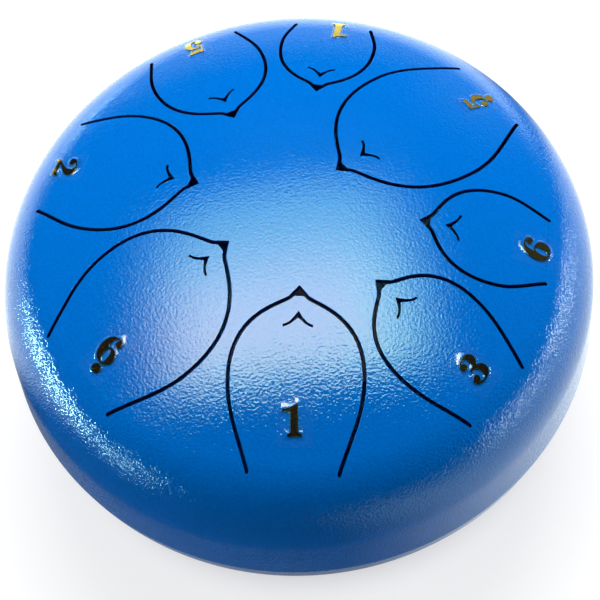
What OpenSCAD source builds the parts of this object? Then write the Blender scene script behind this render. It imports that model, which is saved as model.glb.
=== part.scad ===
// Small steel tongue drum: a pressed top shell with eight free tongues, a pressed
// bottom shell with a sound hole, the weld that joins them, push-in rubber feet
// and a clear note sticker on each tongue.
// Millimetres, +Z up, the origin on the surface that the feet stand on.

/* [Top shell] */
// Widest diameter, at the welded seam
drum_d = 155; // [145:0.5:170]
// Thickness of the pressed steel sheet
sheet_t = 1.5; // [1:0.1:2]
// Radius of the shallow dome that carries the tongues
crown_r = 162; // [140:1:200]
// Radius of the shoulder between dome and side wall
shoulder_r = 23.7; // [19:0.1:26]
// Height of the side wall above the seam
wall_h = 12.9; // [8:0.1:16]
// Outward lean of both side walls towards the seam, in degrees
wall_taper = 6.2; // [2:0.1:9]

/* [Bottom shell] */
// Height of the side wall below the seam
base_wall_h = 3.9; // [2:0.1:8]
// Radius of the corner under the lower wall
base_corner_r = 20; // [16:0.1:26]
// Radius of the shallow dish that closes the bottom
dish_r = 228; // [180:1:300]
// Diameter of the sound hole
sound_hole_d = 46; // [34:0.5:54]

/* [Weld] */
// Width of the weld groove on the outside
weld_w = 1.6; // [1:0.1:2.4]
// Depth of the weld groove into the sheet
weld_depth = 1; // [0.6:0.05:1.2]

/* [Tongues] */
// Plain margin between the seam and the ring where the slots end
rim_margin = 13.5; // [11:0.1:17]
// Width of the cut round each tongue
slot_w = 0.8; // [0.6:0.05:1.2]
// Distance from the sharp tip of the cut to the round nose of the tongue
nose_gap = 2.5; // [2.1:0.05:3]
// Where the line of the cut leaves the tip: distance along the tongue
knee_x = 2.8; // [2.4:0.05:3.2]
// Where the line of the cut leaves the tip: distance to the side
knee_y = 2; // [1.7:0.05:2.3]
// Width left between a tongue and the shell where the two are one sheet
root_gap = 0.05; // [0.04:0.01:0.1]

/* [Chevrons] */
// Length of the chevron along the tongue
chevron_l = 3.1; // [2.4:0.1:4]
// Half the distance between the ends of the two arms
chevron_y = 3.4; // [2.8:0.1:4.2]
// Depth of the cut at the point of the chevron
chevron_point = 1.4; // [1:0.05:1.8]
// Width of each arm at its end
chevron_end = 0.4; // [0.3:0.05:0.6]

/* [Note stickers] */
// Width of a sticker
film_w = 8.4; // [7:0.1:10]
// Length of a sticker that holds a plain note number
film_l = 11.4; // [10:0.1:13]
// Length added for the dot of a low note
film_dot_l = 2; // [1:0.1:3]
// Corner radius of a sticker
film_corner_r = 0.8; // [0.3:0.1:1.6]
// Thickness of a sticker
film_t = 0.2; // [0.18:0.01:0.3]
// Air under the end of a sticker that reaches past the root of its tongue
film_lift = 0.1; // [0.08:0.01:0.12]

/* [Feet] */
// Height of the bottom shell's lowest point above the ground
foot_stand = 3.8; // [2.5:0.1:6]
// Distance of each foot from the centre
foot_ring_r = 46; // [41:0.5:50]
// Diameter of the pad
foot_pad_d = 14; // [11:0.1:17]
// Radius of the pad's lower edge
foot_edge_r = 1.2; // [0.6:0.1:2]
// Diameter of the stem and of its hole
foot_stem_d = 6; // [5:0.1:7]
// Diameter of the barb inside the shell
foot_barb_d = 8.6; // [7.8:0.1:10]
// Height of the barb
foot_barb_h = 4; // [3:0.1:5]

/* [Hidden] */

// Colours of the powder coat, the rubber and the clear film
coat = [0.0, 0.42, 0.86];
rubber = [0.08, 0.08, 0.08];
clear_film = [0.85, 0.93, 1.0, 0.4];

// Facets of the large sections and of small rounds
section_fn = 240;
round_fn = 48;
// How far a cutting shape runs past what it cuts
overrun = 1;
// How far a corner's arc stands proud of its neighbours, so that their curves cross
arc_bite = 0.002;
// Steps along each stretch of a slot
slot_steps = 14;
nose_steps = 6;
arm_steps = 8;

// One row for each tongue, anticlockwise from the right: bearing of the tip and lean of the
// tongue's axis against it in degrees, then shares of the slot ring: distance of the tip from
// the centre, length, half width and half width at the root, then the share of the length at
// which the tongue is widest, and the distance from tip to chevron as a share of the slot ring.
tongue_shares = [
    [346.1, 0.0, 0.489, 0.487, 0.197, 0.137, 0.60, 0.098],
    [31.7, -0.6, 0.223, 0.770, 0.291, 0.179, 0.56, 0.117],
    [73.2, 1.9, 0.550, 0.440, 0.192, 0.158, 0.67, 0.087],
    [111.6, -5.1, 0.466, 0.523, 0.233, 0.189, 0.63, 0.102],
    [156.8, -2.9, 0.358, 0.630, 0.273, 0.215, 0.60, 0.105],
    [209.2, 2.2, 0.269, 0.720, 0.297, 0.203, 0.55, 0.094],
    [270.6, -9.6, 0.345, 0.650, 0.244, 0.163, 0.51, 0.098],
    [308.5, 3.1, 0.448, 0.574, 0.209, 0.150, 0.52, 0.098]
];
// The stickers in the same order: bearing of the centre and turn in degrees, distance of the
// centre from the middle of the drum as a share of the slot ring, and 1 for a low note's dot.
sticker_shares = [
    [345.6, 4, 0.933, 0],
    [30.2, -4, 0.930, 1],
    [72.6, 3, 0.961, 0],
    [108.8, -6, 0.972, 0],
    [155.5, 4, 0.953, 0],
    [212.6, 2, 0.864, 1],
    [265.0, -1, 0.822, 0],
    [310.5, 6, 0.908, 0]
];
// Bearings of the right, left and front foot
foot_bearings = [30, 150, 270];

// Handles of the curve between knee, widest point and root, as shares of each stretch
knee_angle = 42;
knee_pull_share = 0.17;
widest_in_share = 0.8;
widest_out_share = 0.35;
root_pull_share = 0.5;
root_turn_share = 1.3;
// Handles of the tongue's round nose and of the chevron's arms, as shares of their sizes
nose_side_share = 0.5;
nose_knee_share = 0.45;
arm_start_shares = [0.34, 0.22];
arm_end_shares = [0.92, 0.52];

// Side view of the top shell, from the bottom up
drum_r = drum_d / 2;
base_wall_r = drum_r - base_wall_h * tan(wall_taper);
base_corner_x = base_wall_r - base_corner_r * cos(wall_taper);
base_tilt = asin(base_corner_x / (dish_r - base_corner_r));
dish_z = foot_stand + dish_r;
base_corner_z = dish_z - (dish_r - base_corner_r) * cos(base_tilt);
seam_z = base_corner_z - base_corner_r * sin(wall_taper) + base_wall_h;
wall_top_r = drum_r - wall_h * tan(wall_taper);
shoulder_x = wall_top_r - shoulder_r * cos(wall_taper);
shoulder_z = seam_z + wall_h - shoulder_r * sin(wall_taper);
crown_tilt = asin(shoulder_x / (crown_r - shoulder_r));
crown_z = shoulder_z - (crown_r - shoulder_r) * cos(crown_tilt);
slot_ring_r = drum_r - rim_margin;
// Height of the cuts through the dome, from the seam to above its middle
cut_h = crown_z + crown_r + overrun - seam_z;

function polar(r, a) = [r * cos(a), r * sin(a)];

// Point and direction on a cubic curve through p[0] and p[3] at share s
function curve_at(p, s) =
    pow(1 - s, 3) * p[0] + 3 * pow(1 - s, 2) * s * p[1] + 3 * (1 - s) * s * s * p[2] + pow(s, 3) * p[3];
function curve_way(p, s) =
    pow(1 - s, 2) * (p[1] - p[0]) + 2 * (1 - s) * s * (p[2] - p[1]) + s * s * (p[3] - p[2]);
// Point on the curve moved to its left by shift
function beside(p, s, shift) =
    let (way = curve_way(p, s)) curve_at(p, s) + shift / norm(way) * [-way[1], way[0]];
function curve_line(p, steps, shift = 0) = [for (i = [0:steps]) beside(p, i / steps, shift)];

// Sizes of one tongue
function tongue_bearing(row) = row[0] + row[1];
function tongue_tip(row) = polar(row[2] * slot_ring_r, row[0]);
function tongue_l(row) = row[3] * slot_ring_r;
function tongue_y(row) = row[4] * slot_ring_r;
function root_y(row) = row[5] * slot_ring_r;
function chevron_x(row) = row[7] * slot_ring_r;
function widest_x(row) = row[6] * tongue_l(row);
function root_turn(row) =
    root_turn_share * atan((tongue_y(row) - root_y(row)) / (tongue_l(row) - widest_x(row)));

// Middle line of the cut on one side, from the knee to the widest point and on to the root
function knee() = [knee_x, knee_y];
function widest(row) = [widest_x(row), tongue_y(row)];
function root(row) = [tongue_l(row), root_y(row)];
function front_curve(row) = [
    knee(),
    knee() + knee_pull_share * (tongue_y(row) - knee_y) * [cos(knee_angle), sin(knee_angle)],
    widest(row) - [widest_in_share * (widest_x(row) - knee_x), 0],
    widest(row)
];
function rear_curve(row) = [
    widest(row),
    widest(row) + [widest_out_share * (tongue_l(row) - widest_x(row)), 0],
    root(row) - root_pull_share * (tongue_l(row) - widest_x(row))
        * [cos(root_turn(row)), -sin(root_turn(row))],
    root(row)
];
// The same line moved to one edge of the cut
function edge_line(row, shift) = concat(
    curve_line(front_curve(row), slot_steps, shift),
    [for (i = [1:slot_steps]) beside(rear_curve(row), i / slot_steps, shift)]
);
function mirrored(points) = [for (i = [len(points) - 1:-1:0]) [points[i][0], -points[i][1]]];

// Round nose of a tongue, from its axis to the inner edge of the cut at the knee
function nose_line(row) =
    let (end = beside(front_curve(row), 0, -slot_w / 2))
    curve_line([
        [nose_gap, 0],
        [nose_gap, nose_side_share * knee_y],
        end - nose_knee_share * knee_y * [cos(knee_angle), sin(knee_angle)],
        end
    ], nose_steps);
// Where the tongue ends and the sheet goes on into the shell
function root_x(row) = beside(rear_curve(row), 1, -slot_w / 2)[0];

// Outline of a tongue, its tip at the origin and its axis along +X
function tongue_outline(row) =
    let (side = concat(nose_line(row), [for (i = [1:2 * slot_steps]) edge_line(row, -slot_w / 2)[i]]))
    concat(side, [for (i = [0:len(side) - 2]) mirrored(side)[i]]);
// Outline of the opening that the tongue lies in
function opening_outline(row) =
    let (inner = beside(rear_curve(row), 1, -slot_w / 2))
    let (edge = edge_line(row, slot_w / 2))
    let (last = beside(rear_curve(row), 1, slot_w / 2 - arc_bite))
    let (side = concat(
        [[0, 0]],
        [for (i = [0:len(edge) - 2]) edge[i]],
        [last, root(row), [inner[0] + root_gap, inner[1]]]
    ))
    concat(side, [for (i = [0:len(side) - 2]) mirrored(side)[i]]);

// Outline of a chevron, its point towards the tip of the tongue
function chevron_outline() =
    let (outer = curve_line([
        [0, 0],
        [arm_start_shares[0] * chevron_l, arm_start_shares[1] * chevron_y],
        [arm_end_shares[0] * chevron_l, arm_end_shares[1] * chevron_y],
        [chevron_l, chevron_y]
    ], arm_steps))
    let (depth = chevron_point - chevron_end)
    let (inner = [for (i = [arm_steps:-1:0]) outer[i] + [chevron_end + depth * pow(1 - i / arm_steps, 2), 0]])
    let (side = concat(outer, inner))
    concat(side, [for (i = [1:len(side) - 2]) mirrored(side)[i]]);

// Half section of the drum above the seam, moved outwards by grow
module crown_section(grow) {
    corner_r = shoulder_r + grow + arc_bite;
    side_x = shoulder_x + (shoulder_r + grow) * cos(wall_taper);
    side_z = shoulder_z + (shoulder_r + grow) * sin(wall_taper);
    dome_x = (crown_r + grow) * sin(crown_tilt);
    intersection() {
        translate([0, crown_z]) circle(crown_r + grow, $fn = section_fn);
        translate([0, shoulder_z]) square([dome_x, crown_r]);
    }
    intersection() {
        translate([shoulder_x, shoulder_z]) circle(corner_r, $fn = section_fn);
        translate([shoulder_x, shoulder_z]) square(corner_r);
    }
    polygon([
        [0, seam_z],
        [drum_r + grow / cos(wall_taper), seam_z],
        [side_x, side_z],
        [0, side_z]
    ]);
}

// Half section of the drum below the seam, moved outwards by grow
module base_section(grow) {
    corner_r = base_corner_r + grow + arc_bite;
    side_x = base_corner_x + (base_corner_r + grow) * cos(wall_taper);
    side_z = base_corner_z - (base_corner_r + grow) * sin(wall_taper);
    dish_x = (dish_r + grow) * sin(base_tilt);
    intersection() {
        translate([0, dish_z]) circle(dish_r + grow, $fn = section_fn);
        translate([0, base_corner_z - dish_r]) square([dish_x, dish_r]);
    }
    intersection() {
        translate([base_corner_x, base_corner_z]) circle(corner_r, $fn = section_fn);
        translate([base_corner_x, base_corner_z - corner_r]) square(corner_r);
    }
    polygon([
        [0, seam_z],
        [0, side_z],
        [side_x, side_z],
        [drum_r + grow / cos(wall_taper), seam_z]
    ]);
}

// The groove that the weld fills
module weld_groove() {
    polygon([
        [drum_r - weld_depth, seam_z],
        [drum_r + overrun, seam_z - weld_w / 2 * (weld_depth + overrun) / weld_depth],
        [drum_r + overrun, seam_z + weld_w / 2 * (weld_depth + overrun) / weld_depth]
    ]);
}

// The sheet above the seam before the tongues are cut
module crown_sheet() {
    rotate_extrude($fn = section_fn) difference() {
        crown_section(0);
        crown_section(-sheet_t);
        weld_groove();
    }
}

// Puts a shape drawn along +X from the origin on the tongue's axis
module on_tongue(row) {
    translate(concat(tongue_tip(row), 0)) rotate(tongue_bearing(row)) children();
}

module top_shell() {
    color(coat) difference() {
        crown_sheet();
        for (row = tongue_shares) on_tongue(row) {
            translate([0, 0, seam_z]) linear_extrude(cut_h) polygon(opening_outline(row));
            for (side = [-1, 1]) {
                translate([tongue_l(row), side * root_y(row), seam_z])
                    cylinder(r = slot_w / 2, h = cut_h, $fn = round_fn);
            }
        }
    }
}

module tongue(row) {
    color(coat) difference() {
        intersection() {
            crown_sheet();
            on_tongue(row) translate([0, 0, seam_z]) linear_extrude(cut_h) polygon(tongue_outline(row));
        }
        on_tongue(row) translate([chevron_x(row), 0, seam_z]) linear_extrude(cut_h) polygon(chevron_outline());
    }
}

module bottom_shell() {
    color(coat) difference() {
        rotate_extrude($fn = section_fn) difference() {
            base_section(0);
            base_section(-sheet_t);
            weld_groove();
        }
        cylinder(d = sound_hole_d, h = seam_z, $fn = section_fn);
        for (bearing = foot_bearings) {
            translate(concat(polar(foot_ring_r, bearing), 0)) cylinder(d = foot_stem_d, h = seam_z, $fn = round_fn);
        }
    }
}

module weld_seam() {
    color(coat) rotate_extrude($fn = section_fn) intersection() {
        weld_groove();
        union() {
            crown_section(0);
            base_section(0);
        }
    }
}

// A layer that follows the outside of the top shell
module crown_skin(low, high) {
    rotate_extrude($fn = section_fn) difference() {
        crown_section(high);
        crown_section(low);
    }
}

module film_blank(film_length) {
    core_l = film_length - 2 * film_corner_r;
    core_w = film_w - 2 * film_corner_r;
    translate([-film_length / 2, -core_w / 2]) square([film_length, core_w]);
    translate([-core_l / 2, -film_w / 2]) square([core_l, film_w]);
    for (x = [-core_l / 2, core_l / 2], y = [-core_w / 2, core_w / 2]) {
        translate([x, y]) circle(film_corner_r, $fn = round_fn);
    }
}

module sticker(row, spot) {
    film_length = film_l + film_dot_l * spot[3];
    color(clear_film) difference() {
        intersection() {
            crown_skin(0, film_t);
            translate(concat(polar(spot[2] * slot_ring_r, spot[0]), seam_z)) rotate(spot[0] + spot[1])
                linear_extrude(cut_h) film_blank(film_length);
        }
        intersection() {
            crown_skin(-overrun, film_lift);
            on_tongue(row) translate([root_x(row), -tongue_l(row), seam_z])
                cube([tongue_l(row), 2 * tongue_l(row), cut_h]);
        }
    }
}

// Push-in foot: a pad under the dish, a stem through its hole and a barb inside
module foot(bearing) {
    pad_r = foot_pad_d / 2;
    stem_r = foot_stem_d / 2;
    barb_r = foot_barb_d / 2;
    dish_edge_z = dish_z - sqrt(pow(dish_r, 2) - pow(foot_ring_r + pad_r, 2));
    inside_z = dish_z - sqrt(pow(dish_r - sheet_t, 2) - pow(foot_ring_r + barb_r, 2));
    color(rubber) {
        difference() {
            translate(concat(polar(foot_ring_r, bearing), 0)) rotate_extrude($fn = round_fn) {
                square([pad_r - foot_edge_r, dish_edge_z]);
                translate([0, foot_edge_r]) square([pad_r, dish_edge_z - foot_edge_r]);
                translate([pad_r - foot_edge_r, foot_edge_r]) circle(foot_edge_r, $fn = round_fn);
            }
            translate([0, 0, dish_z]) sphere(dish_r, $fn = section_fn);
        }
        translate(concat(polar(foot_ring_r, bearing), foot_edge_r))
            cylinder(r = stem_r, h = inside_z - foot_edge_r, $fn = round_fn);
        intersection() {
            translate(concat(polar(foot_ring_r, bearing), foot_stand)) {
                cylinder(r = barb_r, h = inside_z - foot_stand, $fn = round_fn);
                translate([0, 0, inside_z - foot_stand])
                    cylinder(r1 = barb_r, r2 = stem_r / 2, h = foot_barb_h, $fn = round_fn);
            }
            translate([0, 0, dish_z]) sphere(dish_r - sheet_t, $fn = section_fn);
        }
    }
}

top_shell();
bottom_shell();
weld_seam();
tongue(tongue_shares[0]);  // tongue_6
tongue(tongue_shares[1]);  // tongue_low_5
tongue(tongue_shares[2]);  // tongue_high_1
tongue(tongue_shares[3]);  // tongue_5
tongue(tongue_shares[4]);  // tongue_2
tongue(tongue_shares[5]);  // tongue_low_6
tongue(tongue_shares[6]);  // tongue_1
tongue(tongue_shares[7]);  // tongue_3
sticker(tongue_shares[0], sticker_shares[0]);  // sticker_6
sticker(tongue_shares[1], sticker_shares[1]);  // sticker_low_5
sticker(tongue_shares[2], sticker_shares[2]);  // sticker_high_1
sticker(tongue_shares[3], sticker_shares[3]);  // sticker_5
sticker(tongue_shares[4], sticker_shares[4]);  // sticker_2
sticker(tongue_shares[5], sticker_shares[5]);  // sticker_low_6
sticker(tongue_shares[6], sticker_shares[6]);  // sticker_1
sticker(tongue_shares[7], sticker_shares[7]);  // sticker_3
foot(foot_bearings[0]);  // foot_right
foot(foot_bearings[1]);  // foot_left
foot(foot_bearings[2]);  // foot_front
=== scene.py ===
"""Looks of a small steel tongue drum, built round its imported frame.

The top shell and the tongues are made the way the real ones are: a flat plate is cut,
its cut edges are rounded, and the plate is pressed to the dome. Sizes are in
millimetres until a mesh is finished, and then in metres, in the frame of the CAD.
"""

import logging
from dataclasses import dataclass, field
from enum import Enum
from functools import cached_property
from math import acos, asin, atan, ceil, cos, floor, hypot, pi, radians, sin, sqrt, tan
from typing import Callable, Iterable, Sequence

import bmesh
import bpy
from bmesh.types import BMEdge, BMesh, BMVert
from bpy.types import Material, Mesh, Node, Object
from mathutils import Matrix, Vector

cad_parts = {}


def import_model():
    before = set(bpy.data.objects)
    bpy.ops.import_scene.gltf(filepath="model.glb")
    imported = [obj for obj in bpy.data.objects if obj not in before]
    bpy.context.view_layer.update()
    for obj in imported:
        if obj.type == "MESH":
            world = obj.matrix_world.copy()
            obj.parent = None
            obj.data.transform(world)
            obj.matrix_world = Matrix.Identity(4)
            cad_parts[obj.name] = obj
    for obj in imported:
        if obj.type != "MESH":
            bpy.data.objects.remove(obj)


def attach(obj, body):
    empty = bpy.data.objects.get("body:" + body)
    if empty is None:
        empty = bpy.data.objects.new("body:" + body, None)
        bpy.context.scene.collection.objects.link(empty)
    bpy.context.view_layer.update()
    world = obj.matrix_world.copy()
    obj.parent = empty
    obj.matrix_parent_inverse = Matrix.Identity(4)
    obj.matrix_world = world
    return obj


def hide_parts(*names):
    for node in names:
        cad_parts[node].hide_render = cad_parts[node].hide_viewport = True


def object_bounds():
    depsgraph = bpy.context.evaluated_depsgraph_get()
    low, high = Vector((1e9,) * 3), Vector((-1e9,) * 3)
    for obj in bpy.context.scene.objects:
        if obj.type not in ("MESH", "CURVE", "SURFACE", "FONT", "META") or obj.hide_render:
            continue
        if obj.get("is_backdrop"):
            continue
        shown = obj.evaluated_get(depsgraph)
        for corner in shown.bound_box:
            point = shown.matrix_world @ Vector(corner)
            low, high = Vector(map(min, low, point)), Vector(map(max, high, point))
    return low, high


Point = tuple[float, float]
Place = tuple[float, float, float]
Colour = tuple[float, float, float, float]
Sockets = dict[int | str, object]
NormalRule = Callable[[Vector, Vector, float], Vector | None]

LOG = logging.getLogger("tongue_drum")
MM = 0.001
SAME_POINT = 0.002  # Nearer than this, two corners are one.
SAME_DEPTH = 0.001  # Nearer than this, a corner lies in a skin of the sheet.
RIM_SLACK = 0.05  # How near to the rim a corner counts as on it.
SAME_SPUN = 0.0001  # Nearer than this, two corners of a spun mesh are one.
PARALLEL = 0.03  # Two edges that turn less than this move as one.
SHARP_ANGLE = radians(40)
TURN_STEPS = 240
WHITE: Colour = (1, 1, 1, 1)


# --- shader graphs


def _sign(operation: str, swapped: bool = False) -> "Callable[[Wire, Wire | float], Wire]":
    """What an arithmetic sign does with a wire: it adds a Math node and gives its output."""
    first, second = (1, 0) if swapped else (0, 1)
    return lambda wire, other: wire.graph.read("Math", 0, {first: wire, second: other}, operation=operation)


class Wire:
    """One output socket of a shader node, used in expressions like a number."""

    def __init__(self, graph: "ShaderGraph", socket: bpy.types.NodeSocket) -> None:
        """Keeps the graph and the socket."""
        self.graph, self.socket = graph, socket

    __add__ = __radd__ = _sign("ADD")
    __mul__ = __rmul__ = _sign("MULTIPLY")
    __sub__, __rsub__ = _sign("SUBTRACT"), _sign("SUBTRACT", swapped=True)

    def ramp(self, low: float, high: float) -> "Wire":
        """0 below low, 1 above high and smooth between them."""
        values = {"Value": self, "From Min": low, "From Max": high}
        return self.graph.read("MapRange", "Result", values, interpolation_type="SMOOTHSTEP")


class ShaderGraph:
    """The node tree of a material, a lamp or the world."""

    def __init__(self, tree: bpy.types.NodeTree) -> None:
        """Starts from an empty tree."""
        self.tree = tree
        self.tree.nodes.clear()

    @classmethod
    def of_material(cls, name: str) -> "tuple[Material, ShaderGraph]":
        """Makes a material and the graph that dresses it."""
        material = bpy.data.materials.new(name)
        material.use_nodes = True
        return material, cls(material.node_tree)

    def add(self, kind: str, values: Sockets | None = None, **settings: object) -> Node:
        """Adds one node.

        Args:
            kind: The node's type, without its "ShaderNode".
            values: Numbers, colours, wires or nodes for its sockets.
            settings: Its properties, which are set first.

        Returns:
            The new node.
        """
        node = self.tree.nodes.new(f"ShaderNode{kind}")
        for name, value in settings.items():
            setattr(node, name, value)
        for name, value in (values or {}).items():
            if isinstance(value, Wire):
                self.tree.links.new(value.socket, node.inputs[name])
            elif isinstance(value, Node):
                self.tree.links.new(value.outputs[0], node.inputs[name])
            else:
                node.inputs[name].default_value = value
        return node

    def read(self, kind: str, output: int | str, values: Sockets | None = None, **settings: object) -> Wire:
        """Adds one node and returns the wire of one of its outputs."""
        return Wire(self, self.add(kind, values, **settings).outputs[output])

    def place(self) -> Wire:
        """Object coordinates, which are the drum's own frame in metres."""
        return self.read("TexCoord", "Object")

    def axes(self, vector: Wire) -> list[Wire]:
        """The X, Y and Z of a vector."""
        return [Wire(self, output) for output in self.add("SeparateXYZ", {0: vector}).outputs]

    def length(self, vector: Wire) -> Wire:
        """The length of a vector."""
        return self.read("VectorMath", "Value", {0: vector}, operation="LENGTH")

    def noise(self, size_mm: float, detail: float = 2.0, roughness: float = 0.5) -> Wire:
        """Noise whose grains are about size_mm across."""
        values = {"Vector": self.place(), "Scale": 1000 / size_mm, "Detail": detail, "Roughness": roughness}
        return self.read("TexNoise", "Fac", values)

    def bump(self, height: Wire, depth_mm: float) -> Wire:
        """The normals of a bump whose full height is depth_mm."""
        return self.read("Bump", 0, {"Strength": 1.0, "Distance": depth_mm * MM, "Height": height})

    def blend(self, factor: Wire, first: Colour, second: Colour) -> Wire:
        """Mixes two colours by a factor."""
        return self.read("Mix", 2, {0: factor, 6: first, 7: second}, data_type="RGBA")

    def mix(self, factor: Wire, first: Node, second: Node) -> Node:
        """Mixes two shaders by a factor."""
        return self.add("MixShader", {0: factor, 1: first, 2: second})

    def glow(self, colour: Wire | Colour, strength: Wire | float, kind: str = "Emission") -> Node:
        """A shader that gives off light."""
        return self.add(kind, {"Color": colour, "Strength": strength})

    def finish(self, shader: Node, kind: str = "Material") -> None:
        """Links the last shader to the output."""
        self.add(f"Output{kind}", {"Surface": shader})


# --- finishes


@dataclass(frozen=True)
class PowderCoat:
    """Glossy blue powder coat with orange peel, and grit from the shoulder outwards."""

    colour: Colour = (0.0, 0.2, 0.78, 1.0)
    deep_colour: Colour = (0.0, 0.175, 0.7, 1.0)
    mottle_mm: float = 0.6
    roughness: float = 0.05
    uneven: float = 0.02
    tint: Colour = (0.66, 0.97, 1.0, 1.0)
    ior: float = 1.5
    peel_mm: float = 0.62
    peel_depth_mm: float = 0.068
    grit_mm: float = 0.52
    grit_depth_mm: float = 0.11
    grit_from_m: Point = (0.058, 0.07)

    def shader(self, graph: ShaderGraph) -> Node:
        """Draws the shader."""
        flat = graph.read("VectorMath", 0, {0: graph.place(), 1: (1.0, 1.0, 0.0)}, operation="MULTIPLY")
        grit = (self.grit_depth_mm / self.peel_depth_mm) * graph.noise(self.grit_mm, 0.0)
        height = graph.noise(self.peel_mm, 1.0) + grit * graph.length(flat).ramp(*self.grit_from_m)
        mottle = graph.noise(self.mottle_mm, 3.0).ramp(0.35, 0.65)
        values = {
            "Base Color": graph.blend(mottle, self.colour, self.deep_colour),
            "Roughness": self.roughness - self.uneven / 2 + self.uneven * graph.noise(2.0),
            "IOR": self.ior,
            "Specular Tint": self.tint,
            "Normal": graph.bump(height, self.peel_depth_mm),
        }
        return graph.add("BsdfPrincipled", values)


@dataclass(frozen=True)
class CutFaceShade:
    """Painted shade on the cut faces of a slot, which hardly any light reaches: nearly black blue, streaked.
    """

    # Both colours are painted shade: the slot walls are drawn nearly black in place of the blue coat.
    colour: Colour = (0.0, 0.012, 0.15, 1.0)
    deeper_shade_colour: Colour = (0.003, 0.009, 0.07, 1.0)
    streak_mm: float = 0.5

    def shader(self, graph: ShaderGraph) -> Node:
        """Draws the shader."""
        # The streaks vary the painted shade at random.
        streaks = graph.noise(self.streak_mm, 3.0)
        values = {
            "Base Color": graph.blend(streaks.ramp(0.5, 0.75), self.colour, self.deeper_shade_colour),
            "Roughness": 0.55 + 0.2 * streaks,
            "Specular IOR Level": 0.2,
            "Normal": graph.bump(streaks, 0.02),
        }
        return graph.add("BsdfPrincipled", values)


@dataclass(frozen=True)
class GoldPrint:
    """Polished gold of the raised note numbers."""

    colour: Colour = (1.0, 0.7, 0.09, 1.0)
    worn_colour: Colour = (0.74, 0.44, 0.05, 1.0)
    roughness: float = 0.05
    rub_mm: float = 0.5

    def shader(self, graph: ShaderGraph) -> Node:
        """Draws the shader."""
        rub = graph.noise(self.rub_mm, 3.0)
        values = {
            "Base Color": graph.blend(rub.ramp(0.45, 0.75), self.colour, self.worn_colour),
            "Metallic": 1.0,
            "Roughness": self.roughness - 0.02 + 0.05 * rub,
            "Normal": graph.bump(graph.noise(0.6), 0.003),
        }
        return graph.add("BsdfPrincipled", values)


@dataclass(frozen=True)
class ClearFilm:
    """Clear glossy film of the note stickers, seen by its gloss and its cut edge.

    Heights are in millimetres over the shell. Where it lies flat it mirrors little, and
    where it stands loose round a number it mirrors all, but less on the number.
    """

    tint: Colour = (0.75, 0.87, 1.0, 1.0)
    gloss: Colour = (0.66, 0.86, 1.0, 1.0)
    haze: float = 0.003
    edge_haze: float = 0.4
    roughness: float = 0.03
    ior: float = 1.75
    ripple_mm: float = 2.6
    flat_gloss: float = 0.15
    edge_over: Point = (0.02, 0.035)
    edge_under: Point = (0.06, 0.075)
    loose_from: Point = (0.19, 0.25)
    print_from: Point = (0.39, 0.43)
    print_loss: float = 0.8

    def shader(self, graph: ShaderGraph) -> Node:
        """Draws the shader."""
        ripple = graph.bump(graph.noise(self.ripple_mm, 1.0), 0.012)
        fresnel = graph.read("Fresnel", 0, {"IOR": self.ior, "Normal": ripple})
        outside = 1 - graph.read("NewGeometry", "Backfacing")
        above = 0 - graph.read("Attribute", "Fac", attribute_name="depth")
        edge = self.edge_haze * (above.ramp(*self.edge_over) * (1 - above.ramp(*self.edge_under)) * outside)
        loose = above.ramp(*self.loose_from) * (1 - self.print_loss * above.ramp(*self.print_from))
        shine = fresnel * outside * (self.flat_gloss + (1 - self.flat_gloss) * loose)
        clear = graph.add("BsdfTransparent", {"Color": WHITE})
        body = graph.mix(self.haze + edge, clear, graph.add("BsdfDiffuse", {"Color": self.tint}))
        gloss = {"Color": self.gloss, "Roughness": self.roughness, "Normal": ripple}
        return graph.mix(shine, body, graph.add("BsdfGlossy", gloss))


@dataclass(frozen=True)
class FootRubber:
    """Matt black rubber with a fine moulded grain and a little dust."""

    colour: Colour = (0.017, 0.017, 0.018, 1.0)
    dusty_colour: Colour = (0.05, 0.048, 0.046, 1.0)
    dust_mm: float = 2.4
    grain_mm: float = 0.4

    def shader(self, graph: ShaderGraph) -> Node:
        """Draws the shader."""
        dust = graph.noise(self.dust_mm, 4.0, 0.65)
        values = {
            "Base Color": graph.blend(dust.ramp(0.5, 0.8), self.colour, self.dusty_colour),
            "Roughness": 0.62 + 0.2 * dust,
            "Normal": graph.bump(graph.noise(self.grain_mm, 3.0), 0.03),
        }
        return graph.add("BsdfPrincipled", values)


class Finish(Enum):
    """The finishes: the record's material slot, the material's name and its look."""

    COAT = ("powder_coat", "powder_coat_blue", PowderCoat())
    # The cut faces' material is painted shade, kept in the coat's slot.
    CUT = ("powder_coat", "slot_cut_edge", CutFaceShade())
    GOLD = ("gold_print", "gold_print", GoldPrint())
    FILM = ("clear_film", "clear_film", ClearFilm())
    RUBBER = ("rubber", "foot_rubber", FootRubber())

    def material(self) -> Material:
        """Makes the material."""
        material, graph = ShaderGraph.of_material(self.value[1])
        graph.finish(self.value[2].shader(graph))
        return material


def placed_in_scene(name: str, data: bpy.types.ID) -> Object:
    """Makes an object and links it to the scene."""
    made = bpy.data.objects.new(name, data)
    bpy.context.scene.collection.objects.link(made)
    return made


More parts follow.
